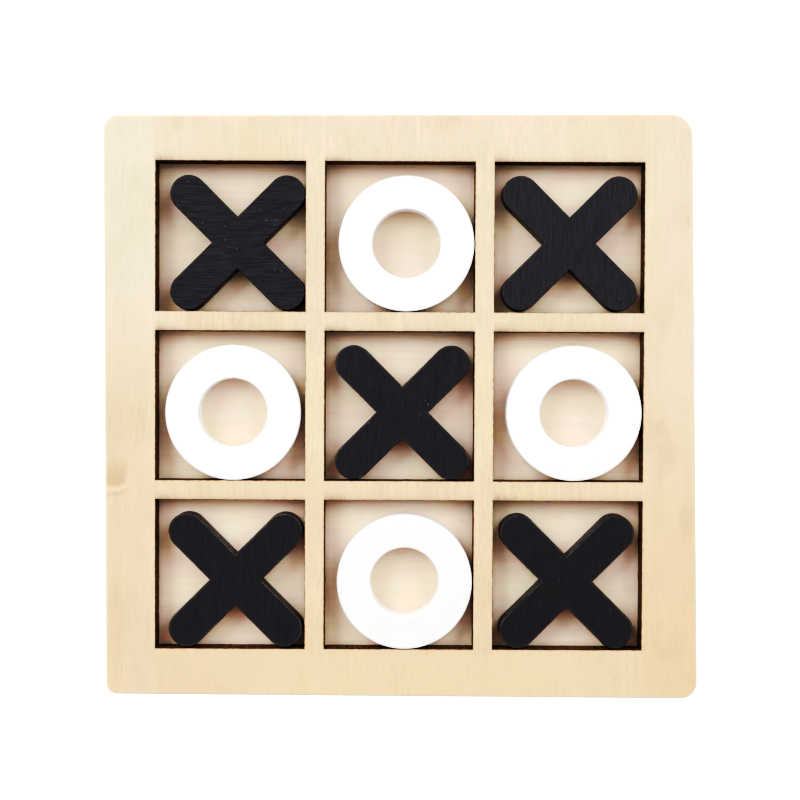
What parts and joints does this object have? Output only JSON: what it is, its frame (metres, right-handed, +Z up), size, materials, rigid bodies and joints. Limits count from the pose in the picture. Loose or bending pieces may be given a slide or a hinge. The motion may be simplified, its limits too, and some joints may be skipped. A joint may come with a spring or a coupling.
{
  "type": "tic tac toe set",
  "caption": "Square wooden tic-tac-toe board: an open grid frame on a base board, with loose flat crosses and rings that sit flush in its recesses and lift out.",
  "frame": {"origin": "point of the base board's underside that lies below the centre of the middle window", "axes": "+X to the right and +Y to the far edge as a player reads the board, +Z up out of the table; the pieces lift along +Z"},
  "size_m": [0.1421, 0.1394, 0.008],
  "materials": {
    "base_wood": "bare pale wood, grain across the board",
    "grid_wood": "bare pale wood, grain up the board, laser-charred cut edges",
    "black_paint": "wood painted matt black, worn along the edges",
    "white_paint": "wood painted satin white"
  },
  "bodies": {
    "board": {"base_board": "base_wood", "grid_frame": "grid_wood"},
    "x_top_left": {"x_piece_top_left": "black_paint"},
    "o_top_middle": {"o_piece_top_middle": "white_paint"},
    "x_top_right": {"x_piece_top_right": "black_paint"},
    "o_middle_left": {"o_piece_middle_left": "white_paint"},
    "x_centre": {"x_piece_centre": "black_paint"},
    "o_middle_right": {"o_piece_middle_right": "white_paint"},
    "x_bottom_left": {"x_piece_bottom_left": "black_paint"},
    "o_bottom_middle": {"o_piece_bottom_middle": "white_paint"},
    "x_bottom_right": {"x_piece_bottom_right": "black_paint"}
  },
  "joints": [
    {"name": "x_top_left_lift", "type": "slide", "parent": "board", "child": "x_top_left", "axis": [0, 0, 1], "range_m": [0, 0.025]},
    {"name": "o_top_middle_lift", "type": "slide", "parent": "board", "child": "o_top_middle", "axis": [0, 0, 1], "range_m": [0, 0.025]},
    {"name": "x_top_right_lift", "type": "slide", "parent": "board", "child": "x_top_right", "axis": [0, 0, 1], "range_m": [0, 0.025]},
    {"name": "o_middle_left_lift", "type": "slide", "parent": "board", "child": "o_middle_left", "axis": [0, 0, 1], "range_m": [0, 0.025]},
    {"name": "x_centre_lift", "type": "slide", "parent": "board", "child": "x_centre", "axis": [0, 0, 1], "range_m": [0, 0.025]},
    {"name": "o_middle_right_lift", "type": "slide", "parent": "board", "child": "o_middle_right", "axis": [0, 0, 1], "range_m": [0, 0.025]},
    {"name": "x_bottom_left_lift", "type": "slide", "parent": "board", "child": "x_bottom_left", "axis": [0, 0, 1], "range_m": [0, 0.025]},
    {"name": "o_bottom_middle_lift", "type": "slide", "parent": "board", "child": "o_bottom_middle", "axis": [0, 0, 1], "range_m": [0, 0.025]},
    {"name": "x_bottom_right_lift", "type": "slide", "parent": "board", "child": "x_bottom_right", "axis": [0, 0, 1], "range_m": [0, 0.025]}
  ]
}
